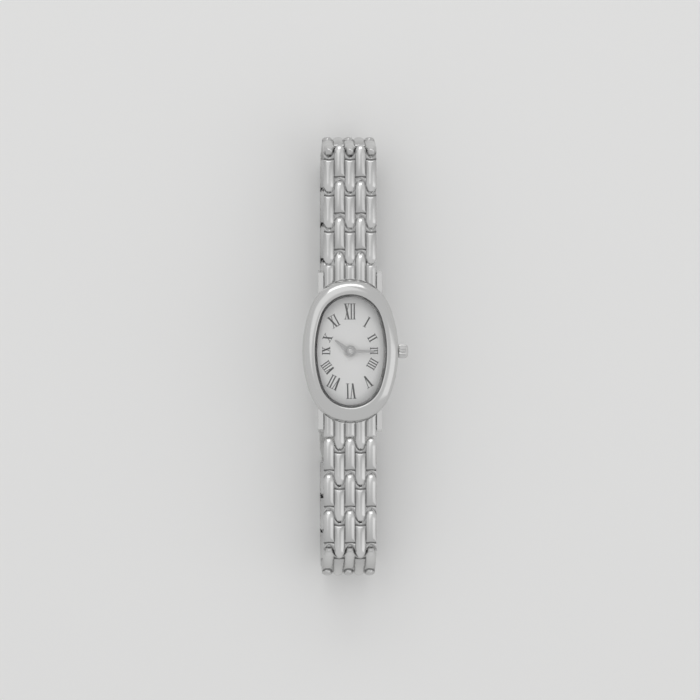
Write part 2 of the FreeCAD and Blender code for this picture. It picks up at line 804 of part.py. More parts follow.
MOVEMENT_TOP = "case_above - dial_thickness"
MOVEMENT_LOW = "case_above - dial_thickness - movement_depth"
PLATE_LOW = "case_above - dial_thickness - plate_thickness"
BRIDGE_TOP = f"{MOVEMENT_LOW} + bridge_thickness"
PILLAR = f"{PLATE_LOW} - ({MOVEMENT_LOW})"


def movement_outline(name, growth, height, z):
    """The movement's shape: a long block with cut corners."""
    half, reach = f"movement_width / 2 + ({growth})", f"movement_length / 2 + ({growth})"
    corners = [
        (f"{half} - movement_corner", f"-({reach})"),
        (half, f"movement_corner - ({reach})"),
        (half, f"{reach} - movement_corner"),
        (f"{half} - movement_corner", reach),
    ]
    return drawn(f"{name}_block", polygon(doc, f"{name}_outline", "XY_Plane", mirrored(corners), z), height)


def stem_hole(name, radius, start, length):
    """A hole along the stem's axis."""
    made = doc.addObject("Part::Prism", name)
    made.Polygon = 8
    made.Placement = FreeCAD.Placement(FreeCAD.Vector(), FreeCAD.Rotation(Y_AXIS, 90))
    bind(made, Circumradius=f"({radius}) / cos(22.5)", Height=length)
    return shift(made, start, "0", "stem_level")


def make_holder():
    """Plastic frame between the movement and the case."""
    half, reach = "(opening_width / 2 + cavity_wall)", "(opening_length / 2 + cavity_wall)"
    quarter = [(0.975, 0.186), (0.865, 0.5), (0.625, 0.812), (0.225, 0.96)]
    side = [(f"{across} * {half}", f"{up} * {reach}") for across, up in quarter]
    low_side = [(across, f"-{up}") for across, up in reversed(side)]
    outline = polygon(doc, "holder_outline", "XY_Plane", mirrored(low_side + side), MOVEMENT_LOW)
    ring = drawn("holder_ring", outline, "movement_depth")
    hollow = movement_outline("holder_hollow", "fit_gap", "movement_depth", MOVEMENT_LOW)
    stem = stem_hole("holder_stem", "tube_diameter / 2 + fit_gap", "movement_width / 4", "bezel_width")
    node(cut("movement_holder", ring, [hollow, stem]), "movement_holder")


def screw_places():
    """The two pillars of the train bridge."""
    return (("left", "screw_inset - movement_width / 2"), ("right", "movement_width / 2 - screw_inset"))


def make_main_plate():
    blank = movement_outline("plate", "0", "plate_thickness", PLATE_LOW)
    minute_x, minute_y = (str(value) for value in MINUTE_WHEEL_AT)
    recess_level = f"{MOVEMENT_TOP} - motion_recess"
    cuts = [
        prism("plate_battery", 24, "battery_diameter / 2 + fit_gap", "battery_thickness", "0",
             "-battery_offset", f"{MOVEMENT_LOW} + clamp_thickness"),
        prism("plate_hour_recess", 16, "hour_wheel_radius + 2 * running_gap", "motion_recess",
             z=recess_level),
        prism("plate_minute_recess", 16, "minute_wheel_radius + 2 * running_gap", "motion_recess",
             minute_x, minute_y, recess_level),
        prism("plate_centre", 8, "arbor_radius + running_gap", "plate_thickness", z=PLATE_LOW),
        stem_hole("plate_stem", "stem_diameter / 2 + running_gap", "stem_inner_end - fit_gap",
                  "movement_width"),
        centred_slot("plate_lever_slot", "groove_start - fit_gap",
                     "groove_length + stem_travel + 2 * fit_gap", "lever_width + 2 * fit_gap",
                     PLATE_LOW, f"stem_level - ({PLATE_LOW})"),
    ]
    node(cut("main_plate", blank, cuts), "main_plate")


def centred_slot(name, x, length, width, z, height):
    """A block along the stem, centred on its plane."""
    return block(name, length, width, height, x, f"-({width}) / 2", z)


def make_train_bridge():
    """Thin bridge on two pillars over the wheels, clear of the battery and the coil."""
    span = "coil_offset - coil_diameter + 0.6"
    plate = centred_block("bridge_plate", "movement_width - 2 * fit_gap", span, "bridge_thickness",
                          "-0.6", MOVEMENT_LOW)
    pillars = [
        prism(f"bridge_pillar_{side}", 8, "pillar_radius", PILLAR, x, "screw_up", MOVEMENT_LOW)
        for side, x in screw_places()
    ]
    holes = [
        prism(f"bridge_hole_{side}", 8, "screw_radius", PILLAR, x, "screw_up", MOVEMENT_LOW)
        for side, x in screw_places()
    ]
    node(cut("train_bridge", fused("bridge_blank", [plate] + pillars), holes), "train_bridge")


def make_movement_screws():
    """Two screws up through the bridge's pillars, their heads flush in it."""
    made = [
        prism(f"movement_screw_{side}", 8, "screw_radius", PILLAR, x, "screw_up", MOVEMENT_LOW)
        for side, x in screw_places()
    ]
    node(group("movement_screws", made), "movement_screws")


def make_battery():
    """Button cell and the spring clamp that holds it from below."""
    cell = disc("battery_cell", "battery_diameter / 2", "battery_thickness - fit_gap", "0",
                "-battery_offset", f"{MOVEMENT_LOW} + clamp_thickness")
    node(group("battery", [cell]), "battery")
    leg = "(battery_diameter / 2 + 3 * fit_gap)"
    low = "-battery_offset - clamp_width / 2"
    strap = centred_block("clamp_strap", f"2 * {leg} + 2 * clamp_leg", "clamp_width", "clamp_thickness",
                          low, MOVEMENT_LOW)
    legs = [
        block(f"clamp_leg_{side}", "clamp_leg", "clamp_width", PILLAR, x, low, MOVEMENT_LOW)
        for side, x in (("left", f"-{leg} - clamp_leg"), ("right", leg))
    ]
    node(fused("battery_clamp", [strap] + legs), "battery_clamp")


def make_circuit():
    """Board with its chip, and the quartz resonator lying beside it."""
    board = block("board_sheet", "board_width", "board_length", "board_thickness", "board_left",
                  "board_low", f"{PLATE_LOW} - board_thickness")
    chip = block("board_chip", "chip_size", "chip_size", "chip_height",
                 "board_left + (board_width - chip_size) / 2", "board_low + 0.3",
                 f"{PLATE_LOW} - board_thickness - chip_height")
    node(fused("circuit_board", [board, chip]), "circuit_board")
    can = bind(
        doc.addObject("Part::Prism", "resonator_can"),
        Circumradius="resonator_radius",
        Height="resonator_length",
    )
    can.Polygon = 8
    can.Placement = FreeCAD.Placement(FreeCAD.Vector(), FreeCAD.Rotation(Y_AXIS, 90))
    shift(can, "board_left", "1.1", f"{PLATE_LOW} - board_thickness - resonator_radius")
    node(group("quartz_resonator", [can]), "quartz_resonator")


LAYER = [f"{PLATE_LOW} - wheel_thickness - 0.1 - {at} * layer_pitch" for at in range(3)]
TRAIN_LOW = f"{BRIDGE_TOP} + 0.02"
TRAIN_HIGH = f"{PLATE_LOW} - 0.02"


def stack(name, at, stages):
    """Discs on one axis, each with its flats (none for a true round), radius and two levels."""
    x, y = (str(value) for value in at)
    made = []
    for order, (sides, radius, low, high) in enumerate(stages, 1):
        label, height = f"{name}_{order}", f"({high}) - ({low})"
        if sides:
            made.append(prism(label, sides, radius, height, x, y, low))
        else:
            made.append(disc(label, radius, height, x, y, low))
    return made


def above(level):
    return f"{level} + wheel_thickness"


def make_train():
    """Rotor, intermediate, third and centre wheels, plain discs on their arbors, then the hand wheels."""
    third = [
        (0, "train_wheel_radius", LAYER[2], above(LAYER[2])),
        (8, "pinion_radius * 0.9", above(LAYER[2]), TRAIN_HIGH),
    ]
    node(fused("third_wheel", stack("third", THIRD_WHEEL_AT, third)), "third_wheel")
    intermediate = [
        (0, "train_wheel_radius", LAYER[1], above(LAYER[1])),
        (8, "pinion_radius", TRAIN_LOW, LAYER[1]),
    ]
    node(fused("intermediate_wheel", stack("intermediate", INTERMEDIATE_WHEEL_AT, intermediate)),
         "intermediate_wheel")
    rotor = [
        (0, "rotor_radius", f"{LAYER[0]} - 0.05", TRAIN_HIGH),
        (8, "pinion_radius", TRAIN_LOW, f"{LAYER[0]} - 0.05"),
    ]
    node(fused("rotor", stack("rotor", ROTOR_AT, rotor)), "rotor")
    motion = f"{MOVEMENT_TOP} - motion_recess + 0.02"
    pipe_top = "minute_hand_level + hand_thickness"
    centre = [
        (16, "train_wheel_radius", LAYER[0], above(LAYER[0])),
        (8, "arbor_radius", LAYER[0], above(motion)),
        (0, "cannon_radius", motion, pipe_top),
    ]
    node(fused("centre_wheel", stack("centre", (0, 0), centre)), "centre_wheel")
    hour_level = f"{motion} + wheel_thickness + 0.03"
    minute = [
        (0, "minute_wheel_radius", motion, above(motion)),
        (8, "minute_pinion_radius", above(motion), above(hour_level)),
    ]
    node(fused("minute_wheel", stack("minute", MINUTE_WHEEL_AT, minute)), "minute_wheel")
    hour_top = "hour_hand_level + hand_thickness"
    hour = [
        (16, "hour_wheel_radius", hour_level, above(hour_level)),
        (0, "hour_pipe_radius", hour_level, hour_top),
    ]
    bore = stack("hour_bore", (0, 0), [(8, "cannon_radius + running_gap", hour_level, hour_top)])
    node(cut("hour_wheel", fused("hour_blank", stack("hour", (0, 0), hour)), bore), "hour_wheel")


def make_motor():
    """Coil on its core, and the stator plate round the rotor, reaching under the coil's ends."""
    level = f"{PLATE_LOW} - coil_diameter / 2 - 0.03"
    winding = cross_rod("coil_winding", "coil_diameter / 2", "coil_length", "coil_offset", level)
    ends = [
        block(f"coil_end_{side}", "coil_end_width", "coil_end_depth", "coil_diameter", x,
              "coil_offset - coil_end_depth / 2", f"{level} - coil_diameter / 2")
        for side, x in (("left", "-coil_length / 2 - coil_end_width"), ("right", "coil_length / 2"))
    ]
    node(fused("coil", [winding] + ends), "coil")
    x, y = (str(value) for value in ROTOR_AT)
    low = f"{PLATE_LOW} - stator_thickness"
    web = block("stator_web", "5.4", "1.5", "stator_thickness", "-3.9", f"{y} - 0.68", low)
    arms = [
        block(f"stator_arm_{side}", "0.8", f"coil_offset - 0.6 - {y}", "stator_thickness", x_low, y, low)
        for side, x_low in (("left", "-3.9"), ("right", "0.7"))
    ]
    hole = prism("stator_hole", 16, "rotor_radius + 0.1", "stator_thickness", x, y, low)
    node(cut("stator", fused("stator_blank", [web] + arms), [hole]), "stator")


# Crown and stem


def along_stem(name, radius, start, end, sides=0):
    """A part on the stem's axis, truly round unless it is given flats."""
    made = doc.addObject("Part::Prism" if sides else "Part::Cylinder", name)
    made.Placement = FreeCAD.Placement(FreeCAD.Vector(), FreeCAD.Rotation(Y_AXIS, 90))
    bind(made, Height=f"({end}) - ({start})")
    if sides:
        made.Polygon = sides
        bind(made, Circumradius=f"({radius}) / cos({180 / sides})")
    else:
        bind(made, Radius=radius)
    return shift(made, start, "0", "stem_level")


CROWN_START = "(bezel_width / 2 + crown_gap)"
CASE_SIDE = "(bezel_width / 2 - case_overhang)"


def make_crown():
    """Fluted crown with a low cap and a bore that slides over its tube."""
    corners = []
    for at in range(28):
        radius = "crown_diameter / 2" if at % 2 else "(crown_diameter / 2 - flute_depth)"
        turn = at * 360 / 28
        corners.append((f"{radius} * cos({turn})", f"{radius} * sin({turn})"))
    grip = drawn("crown_grip", polygon(doc, "crown_star", "XY_Plane", corners), "crown_length - crown_cap")
    cap = prism("crown_end", 16, "crown_diameter / 2 - 2 * flute_depth", "crown_length")
    bore = prism("crown_bore", 16, "tube_diameter / 2 + fit_gap", "crown_bore_depth")
    head = cut("crown_head", fused("crown_blank", [grip, cap]), [bore])
    at = FreeCAD.Vector(number(CROWN_START), 0, number("stem_level"))
    node(group("crown", [head]), "crown", FreeCAD.Placement(at, FreeCAD.Rotation(Y_AXIS, 90)))


def make_stem():
    """Stem with the setting lever's groove, the tube it runs in, and that lever."""
    groove_end = "groove_start + groove_length"
    stages = [
        along_stem("stem_inner", "stem_diameter / 2 * 0.92", "stem_inner_end", "groove_start", 8),
        along_stem("stem_groove", "stem_neck / 2 * 0.92", "groove_start", groove_end, 8),
        along_stem("stem_outer", "stem_diameter / 2", groove_end, f"{CROWN_START} + crown_bore_depth"),
    ]
    node(fused("winding_stem", stages), "winding_stem")
    tube = along_stem("tube_outer", "tube_diameter / 2", "opening_width / 2 + cavity_wall",
                      f"{CASE_SIDE} + tube_outside", 16)
    bore = along_stem("tube_inner", "tube_bore / 2", "opening_width / 2", "bezel_width", 8)
    node(cut("crown_tube", tube, [bore]), "crown_tube")
    foot_low = f"{PLATE_LOW} - 0.3"
    tongue_rise = f"stem_level - stem_neck / 2 - 0.03 - ({foot_low})"
    tongue = centred_slot("lever_tongue", "groove_start + fit_gap", "groove_length - 2 * fit_gap",
                          "lever_width", foot_low, tongue_rise)
    foot = block("lever_foot", "0.9", "1.7", "0.25", "groove_start - 0.5", "-1.4", foot_low)
    node(fused("setting_lever", [tongue, foot]), "setting_lever")


def make_case_parts():
    make_case_middle()
    make_bezel()
    make_crystal()
    make_dial()
    make_case_back()
    make_spring_bars()


make_bracelet()
make_ladder()
make_cover()
make_case_parts()
make_hands()
make_holder()
make_main_plate()
make_train_bridge()
make_movement_screws()
make_battery()
make_circuit()
make_train()
make_motor()
make_crown()
make_stem()

doc.recompute()
for thing in doc.Objects:
    assert not {"Invalid", "Error"} & set(thing.State), f"{thing.Label}: {thing.State}"
for thing in nodes:
    assert not thing.Shape.isNull() and thing.Shape.isValid(), thing.Label
for thing in nodes:
    thing.Shape.exportStep(f"parts/{thing.Label}.step")
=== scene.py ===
import json
import math

import bpy
from mathutils import Matrix, Vector


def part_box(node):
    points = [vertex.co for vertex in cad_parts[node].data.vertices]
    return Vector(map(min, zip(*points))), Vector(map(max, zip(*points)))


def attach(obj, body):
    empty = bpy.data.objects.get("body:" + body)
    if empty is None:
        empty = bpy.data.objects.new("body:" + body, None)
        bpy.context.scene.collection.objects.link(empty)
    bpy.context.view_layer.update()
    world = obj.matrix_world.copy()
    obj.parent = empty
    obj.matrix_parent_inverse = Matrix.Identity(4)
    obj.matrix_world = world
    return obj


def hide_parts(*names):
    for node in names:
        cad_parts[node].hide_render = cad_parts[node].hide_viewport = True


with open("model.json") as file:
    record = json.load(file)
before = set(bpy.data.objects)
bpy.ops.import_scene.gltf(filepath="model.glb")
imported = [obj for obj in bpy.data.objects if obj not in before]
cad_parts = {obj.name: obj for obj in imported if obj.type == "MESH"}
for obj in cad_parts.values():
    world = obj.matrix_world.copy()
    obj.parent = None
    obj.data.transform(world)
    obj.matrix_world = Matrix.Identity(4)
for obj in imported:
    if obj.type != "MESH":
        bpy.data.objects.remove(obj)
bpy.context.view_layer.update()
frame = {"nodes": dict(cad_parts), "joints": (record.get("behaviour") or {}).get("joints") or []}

# Case
# The middle is milled from steel bar with its four lugs, the back snaps in below it, and the crown's tube
# is pressed into its side. All three are polished.


def finish(name, colour, roughness, metallic=0.0, alpha=1.0):
    """A material of one colour and one roughness."""
    look = bpy.data.materials.new(name)
    look.use_nodes = True
    shader = look.node_tree.nodes["Principled BSDF"]
    shader.inputs["Base Color"].default_value = (*colour, 1.0)
    shader.inputs["Roughness"].default_value = roughness
    shader.inputs["Metallic"].default_value = metallic
    shader.inputs["Alpha"].default_value = alpha
    return look


def dress(look, *names):
    """Gives the frame's own solids their material."""
    for name in names:
        materials = frame["nodes"][name].data.materials
        materials.clear()
        materials.append(look)


bright = finish("bright_steel", (0.73, 0.73, 0.725), roughness=0.22, metallic=1.0)
dress(bright, "case_middle", "case_back", "crown_tube")

# Movement
# A quartz movement: plate, bridge and wheels of brass, a coil of lacquered copper wire, a green board, and
# plain steel for the rest. Screws hold it together, and a moulded frame holds it in the oval case.

brass = finish("movement_brass", (0.78, 0.60, 0.30), roughness=0.3, metallic=1.0)
dress(brass, "main_plate", "train_bridge", "centre_wheel", "third_wheel", "intermediate_wheel", "hour_wheel",
      "minute_wheel")
plain = finish("plain_steel", (0.60, 0.60, 0.60), roughness=0.3, metallic=1.0)
dress(plain, "movement_screws", "battery", "battery_clamp", "quartz_resonator", "stator", "rotor",
      "winding_stem", "setting_lever")
dress(finish("lacquered_copper", (0.70, 0.30, 0.14), roughness=0.3, metallic=1.0), "coil")
dress(finish("circuit_board", (0.03, 0.16, 0.07), roughness=0.5), "circuit_board")
dress(finish("moulded_frame", (0.80, 0.80, 0.77), roughness=0.5), "movement_holder")

# Dial
# A thin oval plate of metal, plated silver-white. It is darker towards its edge, where the bezel's wall
# keeps the light off it.

MM = 0.001
DIAL_HALF_WIDTH, DIAL_HALF_LENGTH = 6.6, 10.4
DIAL_WHITE, DIAL_EDGE = (0.76, 0.76, 0.755), (0.47, 0.47, 0.47)
SHADE_STARTS = 0.66


class Value:
    """A shader socket that adds, multiplies and divides like a number."""

    def __init__(self, tree, socket=None):
        self.tree, self.socket = tree, socket

    def node(self, kind, inputs, output=0, **settings):
        """Any other node, from its settings and the values or links of its sockets."""
        made = self.tree.nodes.new(kind)
        for key, setting in settings.items():
            setattr(made, key, setting)
        for key, source in inputs.items():
            if isinstance(source, Value):
                self.tree.links.new(source.socket, made.inputs[key])
            else:
                made.inputs[key].default_value = source
        return Value(self.tree, made.outputs[output])

    def maths(self, operation, one, other):
        return self.node("ShaderNodeMath", {0: one, 1: other}, operation=operation)

    def __add__(self, other):
        return self.maths("ADD", self, other)

    __radd__ = __add__

    def __mul__(self, other):
        return self.maths("MULTIPLY", self, other)

    __rmul__ = __mul__

    def __truediv__(self, other):
        return self.maths("DIVIDE", self, other)

    def __rtruediv__(self, other):
        return self.maths("DIVIDE", other, self)

    def ramp(self, low, high, start=0.0, end=1.0):
        """Start below one value, end above another, and even between them."""
        return self.node("ShaderNodeMapRange", {0: self, 1: low, 2: high, 3: start, 4: end})

    def blend(self, one, other):
        """A colour between two, by this value."""
        ends = {6: (*one, 1.0), 7: (*other, 1.0)}
        return self.node("ShaderNodeMix", {0: self, **ends}, output=2, data_type="RGBA")


def places(look):
    """A material's object coordinates, as a value to start from."""
    return Value(look.node_tree).node("ShaderNodeTexCoord", {}, output="Object")


def feed(look, value, key):
    """Joins a value to one socket of the material's shader."""
    look.node_tree.links.new(value.socket, look.node_tree.nodes["Principled BSDF"].inputs[key])


dial_look = finish("dial_face", DIAL_WHITE, roughness=0.5)
spot = places(dial_look)
across = spot.node("ShaderNodeSeparateXYZ", {0: spot}, output="X") / (DIAL_HALF_WIDTH * MM)
up = spot.node("ShaderNodeSeparateXYZ", {0: spot}, output="Y") / (DIAL_HALF_LENGTH * MM)
outward_share = across * across + up * up
feed(dial_look, outward_share.ramp(SHADE_STARTS, 1.0).blend(DIAL_WHITE, DIAL_EDGE), "Base Color")
dress(dial_look, "dial")

# Numerals
# Black Roman numerals, printed radially on the dial in strokes of two weights with short serifs.
# The band that they stand in follows the oval, so they are tall at 12 and 6 and short at the sides.

# Each numeral's letters, where its middle is, its height and its width
NUMERALS = (
    ("XII", (-0.05, 7.34), 2.95, 2.15), ("I", (3.10, 5.37), 2.05, 0.62), ("II", (4.12, 2.44), 1.65, 1.15),
    ("III", (4.43, 0.05), 1.45, 1.35), ("IIII", (4.13, -2.39), 1.65, 1.95), ("V", (3.20, -5.67), 2.3, 1.35),
    ("VI", (0.15, -7.42), 2.85, 1.85), ("VII", (-3.02, -5.83), 2.45, 2.1), ("VIII", (-4.20, -3.0), 1.8, 2.15),
    ("IX", (-4.46, 0.03), 1.5, 1.5), ("X", (-4.21, 2.45), 1.6, 1.25), ("XI", (-3.02, 5.53), 2.3, 1.65),
)
LETTER_WIDTHS = {"I": 0.52, "V": 1.0, "X": 1.0}
THICK, THIN, SERIF = 0.33, 0.12, 0.10
# Shares of a letter's width: its widest stroke, how far in a slanted stroke ends, and how far serifs reach
STROKE_SHARE, INSET_SHARE = 0.42, 0.2
UPRIGHT_SERIF, THICK_SERIF, THIN_SERIF = 0.46, 0.26, 0.2
INK_LOW, INK_HIGH = 0.002, 0.02


def solid(name, points, faces, smooth=True):
    """A mesh object at the origin from points in millimetres."""
    mesh = bpy.data.meshes.new(name)
    mesh.from_pydata([[MM * value for value in point] for point in points], [], faces)
    mesh.update()
    if smooth:
        mesh.shade_smooth()
    made = bpy.data.objects.new(name, mesh)
    bpy.context.scene.collection.objects.link(made)
    return made


def piece(made, body, slot, look, *nodes):
    """Gives a piece its material, the body it rides on and the solids it stands for."""
    made.data.materials.clear()
    made.data.materials.append(look)
    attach(made, body)
    if nodes:
        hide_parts(*nodes)


def stroke(low_x, high_x, low, high, weight):
    """One slanted bar from low to high, as four corners."""
    half = weight / 2
    return [(low_x - half, low), (low_x + half, low), (high_x + half, high), (high_x - half, high)]


def letter(kind, left, wide, tall):
    """A letter's bars and serifs, from its left edge."""
    low, high, mid = -tall / 2, tall / 2, left + wide / 2
    one, other = left + wide * INSET_SHARE, left + wide * (1 - INSET_SHARE)
    thick = min(THICK, wide * STROKE_SHARE)
    if kind == "I":
        bars = [stroke(mid, mid, low, high, thick)]
        ends = [(mid, low, UPRIGHT_SERIF), (mid, high, UPRIGHT_SERIF)]
    elif kind == "V":
        bars = [stroke(mid, one, low, high, thick), stroke(mid, other, low, high, THIN)]
        ends = [(one, high, THICK_SERIF), (other, high, THIN_SERIF)]
    else:
        bars = [stroke(other, one, low, high, thick), stroke(one, other, low, high, THIN)]
        ends = [(one, low, THIN_SERIF), (other, low, THICK_SERIF), (one, high, THICK_SERIF),
                (other, high, THIN_SERIF)]
    for x, y, share in ends:
        reach = wide * share
        below, above = sorted((y, y + (SERIF if y < 0 else -SERIF)))
        bars.append([(x - reach, below), (x + reach, below), (x + reach, above), (x - reach, above)])
    return bars


ink = finish("numeral_ink", (0.012, 0.012, 0.013), roughness=0.5)
dial_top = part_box("dial")[1].z / MM
points, faces = [], []
for word, middle, tall, wide_all in NUMERALS:
    outward = Vector(middle).normalized()
    sideways = Vector((outward.y, -outward.x))
    unit = wide_all / sum(LETTER_WIDTHS[kind] for kind in word)
    left = -wide_all / 2
    for kind in word:
        for bar in letter(kind, left, LETTER_WIDTHS[kind] * unit, tall):
            start = len(points)
            for level in (dial_top + INK_LOW, dial_top + INK_HIGH):
                for along_dial, up_dial in bar:
                    corner = Vector(middle) + sideways * along_dial + outward * up_dial
                    points.append((corner.x, corner.y, level))
            faces += [(start + 4, start + 5, start + 6, start + 7), (start + 3, start + 2, start + 1, start)]
            faces += [(start + at, start + (at + 1) % 4, start + (at + 1) % 4 + 4, start + at + 4)
                      for at in range(4)]
        left += LETTER_WIDTHS[kind] * unit
piece(solid("numerals", points, faces, smooth=False), "case", "dial_face", ink)

# Hands
# Stamped from thin strip and plated pale silver. On the minute hand's pipe sits a ring-like collar, closed by
# a small cap of steel, buffed on a soft wheel like the bezel and the crown, which leaves faint patches.

HAND_SILVER, POLISHED = (0.42, 0.42, 0.42), (0.61, 0.61, 0.605)
# Radius and height above the pipe, from the outside in
COLLAR = ((0.72, 0.0), (0.74, 0.06), (0.66, 0.14), (0.55, 0.14), (0.46, 0.07), (0.2, 0.06))
CAP = ((0.42, 0.04), (0.42, 0.10), (0.30, 0.13), (0.10, 0.14))
HUB_STEPS = 48
# The span that most of a noise texture's values lie in
NOISE_LOW, NOISE_HIGH = 0.3, 0.7


def buff(look, patches, detail, smoothest, roughest):
    """Lets the roughness wander in soft patches, as a buffing wheel and wear leave it."""
    spot = places(look)
    wander = spot.node("ShaderNodeTexNoise", {"Vector": spot, "Scale": patches, "Detail": detail})
    feed(look, wander.ramp(NOISE_LOW, NOISE_HIGH, smoothest, roughest), "Roughness")


def skin(rings, closed=False):
    """Points and faces through rings of equal count, with the ends capped or, if closed, joined."""
    count = len(rings[0])
    points = [point for ring in rings for point in ring]
    faces = []
    for at in range(len(rings) if closed else len(rings) - 1):
        low, high = at * count, ((at + 1) % len(rings)) * count
        for step in range(count):
            ahead = (step + 1) % count
            faces.append((low + step, low + ahead, high + ahead, high + step))
    if not closed:
        faces += [tuple(reversed(range(count))), tuple(range(len(points) - count, len(points)))]
    return points, faces


steel = finish("polished_steel", POLISHED, roughness=0.12, metallic=1.0)
buff(steel, patches=900.0, detail=3.0, smoothest=0.11, roughest=0.19)
silver = finish("pale_hands", HAND_SILVER, roughness=0.3, metallic=1.0)
dress(silver, "hour_hand", "minute_hand")
hub_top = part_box("minute_hand")[1].z / MM
hub_turns = [2 * math.pi * at / HUB_STEPS for at in range(HUB_STEPS)]
for name, profile, look in (("hand_collar", COLLAR, silver), ("hand_cap", CAP, steel)):
    rings = [[(radius * math.cos(turn), radius * math.sin(turn), hub_top + rise) for turn in hub_turns]
             for radius, rise in profile]
    piece(solid(name, *skin(rings)), "minute_hand", "hands", look)

# Bezel
# A wide steel ring, turned and filed to an oval, domed over its whole width and pressed over the case.
# Its inner edge drops straight to the crystal's seat.

# Each oval: its width, its length and the radius of its ends
BEZEL_OUTER = (17.8, 26.5, 7.9)
BEZEL_RIM = (13.45, 21.05, 5.95)
BEZEL_INNER = (13.3, 20.9, 5.9)
BEZEL_SEAT = (12.4, 20.0, 5.45)
OVAL_STEPS = 160
# The upright side's height, then how far the edge and the seat lie below the rim
SIDE, EDGE_DROP, SEAT_DROP = 0.75, 0.12, 1.05
# The dome's steps, how much of the way to the rim it covers and how full it is
DOME_STEPS, DOME_REACH, DOME_FULLNESS = 14, 0.94, 0.9


def oval(width, length, end_radius, count=OVAL_STEPS):
    """Points round an oval of four arcs that run into each other."""
    half, rise = width / 2, length / 2 - end_radius
    side = (half ** 2 + rise ** 2 - end_radius ** 2) / (2 * (half - end_radius))
    turn = math.atan2(rise, side - half)
    points = []
    for at in range(count):
        angle = 2 * math.pi * at / count
        lean = math.atan2(abs(math.sin(angle)), abs(math.cos(angle)))
        if lean <= turn:
            x, y = half - side + side * math.cos(lean), side * math.sin(lean)
        else:
            x, y = end_radius * math.cos(lean), rise + end_radius * math.sin(lean)
        points.append((math.copysign(x, math.cos(angle)), math.copysign(y, math.sin(angle))))
    return points


def oval_ring(sizes, level, scale=1.0):
    """An oval at one height."""
    return [(x * scale, y * scale, level) for x, y in oval(*sizes)]


base, rim = (corner.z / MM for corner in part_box("bezel"))
rings = [oval_ring(BEZEL_OUTER, base)]
for step in range(DOME_STEPS + 1):
    share = step / DOME_STEPS
    level = base + SIDE + (rim - base - SIDE) * math.sin(math.acos(1 - share)) ** DOME_FULLNESS
    sizes = [outer + (inner - outer) * share * DOME_REACH for outer, inner in zip(BEZEL_OUTER, BEZEL_RIM)]
    rings.append(oval_ring(sizes, level))
rings += [oval_ring(BEZEL_INNER, rim - EDGE_DROP), oval_ring(BEZEL_INNER, rim - SEAT_DROP),
          oval_ring(BEZEL_SEAT, rim - SEAT_DROP), oval_ring(BEZEL_SEAT, base)]
piece(solid("bezel_ring", *skin(rings, closed=True)), "case", "case_steel", steel, "bezel")

# Crystal
# A clear mineral crystal, cut to the bezel's inner oval and polished with a gently domed top. It sits in a
# gasket on the bezel's seat.

CRYSTAL = (13.2, 20.8, 5.85)
# Share of the oval and height from the dome's top, from the edge inwards
CRYSTAL_DOME = ((1.0, -0.22), (0.985, -0.16), (0.95, -0.12), (0.85, -0.085), (0.7, -0.055), (0.5, -0.03),
                (0.3, -0.012), (0.12, 0.0))
glass = finish("clear_crystal", (1.0, 1.0, 1.0), roughness=0.03, alpha=0.06)
crystal_base, crystal_top = (corner.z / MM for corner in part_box("crystal"))
rings = [oval_ring(CRYSTAL, crystal_base)]
rings += [oval_ring(CRYSTAL, crystal_top + level, share) for share, level in CRYSTAL_DOME]
piece(solid("domed_crystal", *skin(rings)), "case", "crystal", glass, "crystal")

# Gasket
# A thin ring of dark soft plastic, pressed in round the crystal to hold it and keep water out. Only its
# upper edge shows.

GASKET_OUTER, GASKET_INNER = BEZEL_INNER, (13.08, 20.68, 5.79)
GASKET_LOW, GASKET_HIGH = 0.30, 0.13
rings = [oval_ring(GASKET_OUTER, rim - GASKET_LOW), oval_ring(GASKET_OUTER, rim - GASKET_HIGH),
         oval_ring(GASKET_INNER, rim - GASKET_HIGH), oval_ring(GASKET_INNER, rim - GASKET_LOW)]
rubber = finish("gasket_black", (0.10, 0.10, 0.10), roughness=0.5)
piece(solid("crystal_gasket", *skin(rings, closed=True)), "case", "crystal", rubber)

# Crown
# Turned from steel, with flutes to grip and a slightly domed end. It is screwed on its stem and pulls out to
# set the hands.

FLUTES, FLUTE_DEPTH, FLUTE_SHARPNESS = 14, 0.20, 1.5
CROWN_STEPS = 168
# Shares of the crown's length, of its radius and of the flutes' depth, from the case outwards
CROWN_PROFILE = ((0.0, 0.5, 0), (0.0, 0.9, 0.3), (0.08, 0.985, 1), (0.3, 1.0, 1), (0.62, 1.0, 1),
                 (0.76, 0.97, 1), (0.84, 0.9, 0.5), (0.87, 0.84, 0), (0.93, 0.76, 0), (0.98, 0.5, 0),
                 (1.0, 0.2, 0))
crown_low, crown_high = (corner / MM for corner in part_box("crown"))
crown_centre, crown_radius = (crown_low.z + crown_high.z) / 2, (crown_high.z - crown_low.z) / 2
rings = []
for along, share, fluted in CROWN_PROFILE:
    ring = []
    for at in range(CROWN_STEPS):
        turn = 2 * math.pi * at / CROWN_STEPS
        flute = FLUTE_DEPTH * fluted * (0.5 + 0.5 * math.cos(FLUTES * turn)) ** FLUTE_SHARPNESS
        radius = crown_radius * share - flute
        ring.append((crown_low.x + along * (crown_high.x - crown_low.x), radius * math.cos(turn),
                     crown_centre + radius * math.sin(turn)))
    rings.append(ring)
piece(solid("fluted_crown", *skin(rings)), "crown", "case_steel", steel, "crown")

# Bracelet beads
# Each link is five rice-grain beads in one casting, crested on top and flat towards the wrist.
# Three have their tips at this link's own pin and two at the next, so links mesh along a zigzag.
# A low shelf at each bead's root lets the next link's tip pass over it when the bracelet bends.

# From pin to pin, from row to row, and half a bead's width
PITCH, ROW, HALF_ROW = 6.73, 1.96, 0.975
# Along the bead from its own pin: its tip, its root, the shelf's length and the gap to the next tip
TIP, ROOT, SHELF, RUN = -1.16, 5.37, 0.50, 0.20
